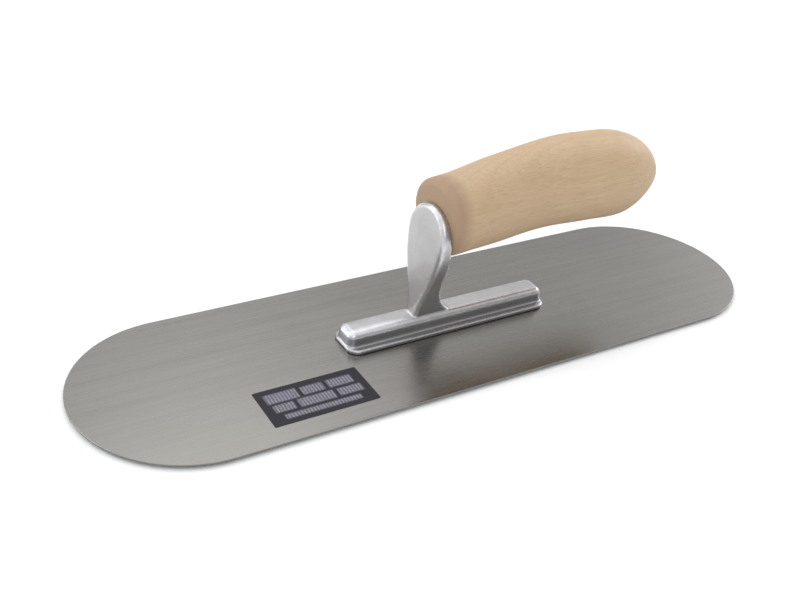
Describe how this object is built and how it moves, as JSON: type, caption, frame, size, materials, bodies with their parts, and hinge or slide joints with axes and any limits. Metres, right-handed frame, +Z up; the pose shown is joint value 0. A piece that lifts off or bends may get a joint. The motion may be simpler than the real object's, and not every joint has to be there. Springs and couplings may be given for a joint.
{
  "type": "finishing trowel",
  "caption": "Steel finishing trowel with a full-round-ended blade, a cast aluminium mounting and a curved wooden handle held by a nut on a stud.",
  "frame": {"origin": "middle of the blade's working face, on its underside", "axes": "+X along the blade from its toe, in front of the gooseneck, to its heel, below the end of the handle; +Z up, away from the work"},
  "size_m": [0.3556, 0.1016, 0.0871],
  "materials": {
    "ground_steel": "satin, ground lengthwise",
    "rivet_steel": "ground flush with the blade",
    "cast_aluminium": "as cast and tumbled",
    "sanded_wood": "sanded smooth, thin clear coat",
    "zinc_plated_steel": "dull zinc plating",
    "label_foil": "printed foil"
  },
  "bodies": {
    "root": {"blade": "ground_steel", "blade_rivets": "rivet_steel", "mounting": "cast_aluminium", "handle": "sanded_wood", "handle_stud": "zinc_plated_steel", "flat_washer": "zinc_plated_steel", "lock_washer": "zinc_plated_steel", "hex_nut": "zinc_plated_steel", "label": "label_foil"}
  },
  "joints": []
}
